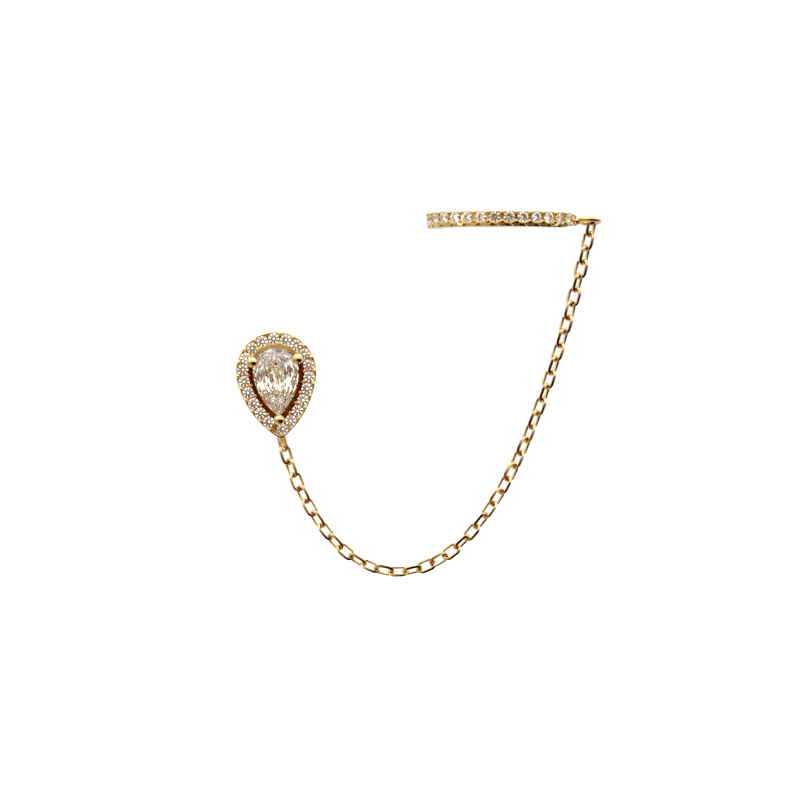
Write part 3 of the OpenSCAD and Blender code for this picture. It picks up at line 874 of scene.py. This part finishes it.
def rolled(v):
    """A direction or point of the stud's plane, in the part's X and Z."""
    return Vector((v.x * math.cos(STUD_ROLL) - v.y * math.sin(STUD_ROLL),
                   v.x * math.sin(STUD_ROLL) + v.y * math.cos(STUD_ROLL)))


hook_x = ring_x + RING_R * math.cos(RING_HOOK)
ring_drop = RING_R * math.sin(RING_HOOK) * math.sin(RING_TILT)
ring_point = Vector((CUFF_X + hook_x * math.cos(CUFF_TILT),
                     CUFF_Z + hook_x * math.sin(CUFF_TILT) - ring_drop))
chain_start = rolled(LOOP_BOTTOM) - (LOOP_WIRE + HOOK_PLAY) / 2 * rolled(loop_axis.normalized())
chain_end = ring_point + (RING_WIRE + HOOK_PLAY) / 2 * Vector((math.sin(RING_LEAN), math.cos(RING_LEAN)))
chain_len = LINK_COUNT * LINK_PITCH
span = chain_end.x - chain_start.x
rise = chain_end.y - chain_start.y
slack = math.sqrt(chain_len ** 2 - rise ** 2)
# The catenary's parameter is found by halving, so that the curve is as long as the chain
low, high = 2.0, 60.0
for _ in range(50):
    sag = (low + high) / 2
    if 2 * sag * math.sinh(span / (2 * sag)) > slack:
        low = sag
    else:
        high = sag
lowest_x = (chain_start.x + chain_end.x) / 2 - sag * math.asinh(rise / slack)
lowest_z = chain_start.y - sag * (math.cosh((chain_start.x - lowest_x) / sag) - 1)
first_s = sag * math.sinh((chain_start.x - lowest_x) / sag)


def hang_point(s):
    """Point of the hanging curve at arc length s from its lowest point."""
    return Vector((lowest_x + sag * math.asinh(s / sag), chain_y, lowest_z + math.hypot(sag, s) - sag))


link_end_r = LINK_W / 2 - LINK_WIRE_R
link_straight = LINK_PITCH + LINK_PLAY + 2 * LINK_WIRE_R - 2 * link_end_r


def cut_section(wire_r, cut, sides):
    """Section of a round wire with two flats milled on it, at 45 degrees either side of outwards."""
    corners = []
    for k in range(sides):
        turn = 2 * math.pi * k / sides
        off_flat = min(turn, 2 * math.pi - turn) - math.pi / 4
        reach = min(wire_r, cut / math.cos(off_flat)) if abs(off_flat) < math.pi / 2 else wire_r
        corners.append((reach * math.cos(turn), reach * math.sin(turn)))
    return corners


link_shape = bmesh.new()
link_loops = []
for point, way in stadium(link_end_r, link_straight, LINK_STEPS):
    # The flats run along the sides and fade out round the bends
    milled = min(1.0, max(0.0, MILL_GAIN * abs(way.x) - MILL_START))
    section = cut_section(LINK_WIRE_R, LINK_WIRE_R - milled * (LINK_WIRE_R - LINK_CUT), LINK_SIDES)
    link_loops.append([point + out * way + Vector((0, 0, up)) for out, up in section])
add_ring_wall(link_shape, link_loops)
link = finished("link", link_shape)
in_bend = [math.hypot(f.center.x, abs(f.center.y) - link_straight / 2) < link_end_r - BEND_IN
           and abs(f.center.y) > link_straight / 2 + BEND_FROM for f in link.data.polygons]
link_places = []
chance = random.Random(ROLL_SEED)
for i in range(LINK_COUNT):
    a = hang_point(first_s + i * LINK_PITCH)
    b = hang_point(first_s + (i + 1) * LINK_PITCH)
    along = (b - a).normalized()
    side = Vector((along.z, 0, -along.x))
    roll = LAST_LINK_TURN if i == LINK_COUNT - 1 else ODD_LINK_TURN if i % 2 else EVEN_LINK_TURN
    roll += math.radians(chance.uniform(-ROLL_CHANCE, ROLL_CHANCE))
    across = math.cos(roll) * side + Vector((0, math.sin(roll), 0))
    link_places.append(((a + b) / 2, across.cross(along), across))
chain = set_pieces("chain_links", link_places, link, polished_gold, 0.0, TIP_CHANCE, TIP_SEED)
chain.data.materials.clear()
polished(chain, 40)
chain.data.materials.append(painted_shade_gold)
# Faces inside the links' bends get painted shade: the darker orange gold
for face in chain.data.polygons:
    face.material_index = 1 if in_bend[face.index % len(in_bend)] else 0
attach(chain, "root")
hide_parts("chain")

# Ear cuff band
# One casting: an open oval band with a seat for each stone, shared beads above and below each gap
# and an arch cut into the lower edge under each stone.
CUFF_HALF_D = 5.3
CUFF_FRONT_R = 7.4
BAND_H = 1.38
BAND_T = 1.4
BRIM_H = 0.63
CUFF_STONES = 14
CUFF_STONE_D = 0.96
CUFF_PITCH = 1.252
STONE_ROW_SHIFT = -0.796
FIRST_STONE = -7
END_MARGIN = 0.55
STONE_RISE = 0.14
CUFF_SEAT_IN = 0.12
CUFF_DRILL_R = 0.2
CUFF_BEAD_RISE = 0.36
CUFF_BEAD_R = 0.18
LOW_BEAD_R = 0.12
CUFF_BEAD_OUT = 0.03
BAND_END = 9.6
ARCH_R = 0.4
ARCH_DROP = 0.13
ARCH_DEEP = 0.16
TRENCH_UP = 0.33
TRENCH_DEEP = 0.26
TRENCH_LIP = 0.05
BAND_STEPS = 90
TAPER_X = 5.2
TAPER_FALL = 0.28
cuff_y = chain_y - RING_R * math.sin(RING_HOOK) * math.cos(RING_TILT)
cuff_place = (Matrix.Scale(MM, 4) @ Matrix.Translation((CUFF_X, cuff_y, CUFF_Z))
              @ Matrix.Rotation(-CUFF_TILT, 4, "Y"))
oval_k = CUFF_FRONT_R - CUFF_HALF_D
oval_side_r = (CUFF_HALF_W ** 2 + oval_k ** 2 - CUFF_FRONT_R ** 2) / (2 * (CUFF_HALF_W - CUFF_FRONT_R))
oval_h = CUFF_HALF_W - oval_side_r
oval_turn = math.atan2(oval_h, oval_k)
oval_s1 = CUFF_FRONT_R * oval_turn
oval_s2 = oval_side_r * (math.pi - 2 * oval_turn)
oval_total = 4 * oval_s1 + 2 * oval_s2
stone_end = STONE_ROW_SHIFT + (FIRST_STONE - END_MARGIN) * CUFF_PITCH


def oval_place(s, inset):
    """Point of the cuff's plan at arc length s from the front middle, and the outward turn."""
    if s < -oval_total / 2:
        s += oval_total
    side, a = (-1 if s < 0 else 1), abs(s)
    if a < oval_s1:
        turn = a / CUFF_FRONT_R
        p = ((CUFF_FRONT_R - inset) * math.sin(turn), oval_k - (CUFF_FRONT_R - inset) * math.cos(turn))
    elif a < oval_s1 + oval_s2:
        turn = oval_turn + (a - oval_s1) / oval_side_r
        p = (oval_h + (oval_side_r - inset) * math.sin(turn), -(oval_side_r - inset) * math.cos(turn))
    else:
        turn = math.pi - oval_turn + (a - oval_s1 - oval_s2) / CUFF_FRONT_R
        p = ((CUFF_FRONT_R - inset) * math.sin(turn), -oval_k - (CUFF_FRONT_R - inset) * math.cos(turn))
    return Vector((side * p[0], p[1], 0)), side * turn


def band_place(s, inset, rise):
    """Frame on the band's outer face, its z pointing outwards and its y up."""
    p, turn = oval_place(s, inset)
    return (Matrix.Translation(p + Vector((0, 0, rise))) @ Matrix.Rotation(turn, 4, "Z")
            @ Matrix.Rotation(math.pi / 2, 4, "X"))


def add_strip(shape, s0, s1, corners, steps):
    """Sweeps a closed section along the plan; corners gives its (inset, height) pairs at s."""
    loops = []
    for i in range(steps + 1):
        s = s0 + (s1 - s0) * i / steps
        loops.append([oval_place(s, inset)[0] + Vector((0, 0, z)) for inset, z in corners(s)])
    add_walls(shape, loops)


def band_corners(s):
    """Section of the band with its trench, lower towards the ring."""
    x = oval_place(s, 0)[0].x
    fall = TAPER_FALL * max(0, (x - TAPER_X) / (CUFF_HALF_W - TAPER_X)) if s > 0 else 0
    half = BAND_H / 2 - fall
    brim = min(BRIM_H, half)
    low, up = STONE_RISE - TRENCH_UP, min(STONE_RISE + TRENCH_UP, brim - TRENCH_LIP)
    return [(0, -half), (0, low), (TRENCH_DEEP, low), (TRENCH_DEEP, up), (0, up),
            (0, brim), (BAND_T, half), (BAND_T, -half)]


def stone_s(i):
    """Arc length of cuff stone i from the front middle, left to right."""
    return STONE_ROW_SHIFT + (i + FIRST_STONE) * CUFF_PITCH


band = bmesh.new()
add_strip(band, stone_end, BAND_END, band_corners, BAND_STEPS)
cuts = bmesh.new()
cuff_beads = bmesh.new()
for i in range(CUFF_STONES):
    s = stone_s(i)
    seat_cutter(cuts, band_place(s, CUFF_SEAT_IN, STONE_RISE), CUFF_STONE_D, CUFF_DRILL_R)
    add_lathe(cuts, band_place(s, ARCH_DEEP, -BAND_H / 2 - ARCH_DROP), [
        (0, 0), (ARCH_R, 0), (ARCH_R, CUT_OVER), (0, CUT_OVER)])
    if i < CUFF_STONES - 1:
        for rise, radius in ((-CUFF_BEAD_RISE, LOW_BEAD_R), (CUFF_BEAD_RISE, CUFF_BEAD_R)):
            between = band_place(s + CUFF_PITCH / 2, CUFF_BEAD_OUT, STONE_RISE + rise)
            add_ball(cuff_beads, between.translation, radius)
cuff_band = cast_metal("cuff_band", band, cuts, cuff_beads, cuff_place)
cuff_band.data.materials.append(polished_gold)
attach(cuff_band, "root")
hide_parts("ear_cuff")

# Plain shank round the back of the cuff
# A polished strip of the same gold-plated metal, joined to the band's left end, with rounded edges
# and a round free end. The gap after it lets the ear's rim in.
SHANK_T = 1
SHANK_H = 0.7
SHANK_IN = 0.15
SHANK_END = -23.7
SHANK_EDGE = 0.3
SHANK_LAP = 0.4
SHANK_STEPS = 120
EDGE_STEPS = 5
END_WIDTH = 0.02
END_HEIGHT = 0.35
shank = bmesh.new()


def shank_corners(s):
    """Rounded section of the shank, drawn in at its round end."""
    left = max(0.0, min(1.0, (s - SHANK_END + SHANK_T / 2) / (SHANK_T / 2)))
    reach = math.sqrt(max(0.0, 1 - (1 - left) ** 2))
    corners = []
    for cx, cz, start in ((1, -1, -90), (1, 1, 0), (-1, 1, 90), (-1, -1, 180)):
        for k in range(EDGE_STEPS + 1):
            turn = math.radians(start + 90 * k / EDGE_STEPS)
            across = cx * (SHANK_T / 2 - SHANK_EDGE) + SHANK_EDGE * math.cos(turn)
            up = cz * (SHANK_H / 2 - SHANK_EDGE) + SHANK_EDGE * math.sin(turn)
            corners.append((SHANK_IN + SHANK_T / 2 + across * max(reach, END_WIDTH),
                            up * max(reach, END_HEIGHT)))
    return corners


add_strip(shank, SHANK_END - SHANK_T / 2, stone_end + SHANK_LAP, shank_corners, SHANK_STEPS)
cuff_shank = finished("cuff_shank", shank, cuff_place)
polished(cuff_shank, 50)
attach(cuff_shank, "root")
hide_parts("ear_cuff")

# End ring
# A small round wire ring soldered to the cuff's right tip, lying nearly level. The chain's last
# link goes through it.
RING_STEPS = 64
RING_SIDES = 20
NECK_SIDES = 24
NECK_IN = 0.5
NECK_PROFILE = ((0, 0), (0.4, 0), (0.36, 0.4), (0.27, 0.62), (0.25, 0.8), (0, 0.85))
ring = bmesh.new()
ring_place = Matrix.Translation((ring_x, 0, 0)) @ Matrix.Rotation(-RING_TILT, 4, "X")
ring_path = []
for i in range(RING_STEPS):
    turn = 2 * math.pi * i / RING_STEPS
    way = Vector((math.cos(turn), math.sin(turn), 0))
    ring_path.append((RING_R * way, way))
add_wire(ring, ring_path, round_section(RING_WIRE / 2, RING_SIDES), ring_place)
# The neck of solder that joins the ring to the band's tip
neck_place = Matrix.Translation((CUFF_HALF_W - NECK_IN, 0, 0)) @ Matrix.Rotation(math.pi / 2, 4, "Y")
add_lathe(ring, neck_place, NECK_PROFILE, NECK_SIDES)
end_ring = finished("end_ring", ring, cuff_place)
polished(end_ring, 50)
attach(end_ring, "root")
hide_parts("ear_cuff")

# Cuff stones
# Fourteen round brilliant-cut white zirconia stones in a row round the band, each pressed into its
# seat under four beads that it shares with its neighbours.
CUFF_PAVILION = 0.42
CUFF_SEED = 7
cuff_places = []
for i in range(CUFF_STONES):
    seat = band_place(stone_s(i), CUFF_SEAT_IN, STONE_RISE)
    cuff_places.append(in_part(cuff_place, seat.translation, seat.col[2].to_3d(), seat.col[0].to_3d()))
cuff_cut = round_brilliant("cuff_cut", CUFF_STONE_D, CUFF_PAVILION)
cuff_stones = set_pieces("cuff_stones", cuff_places, cuff_cut, warm_shaded_zirconia, MOST_TURN, MOST_TIP, CUFF_SEED)
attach(cuff_stones, "root")
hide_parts(*["cuff_stone_%02d" % i for i in range(1, CUFF_STONES + 1)])
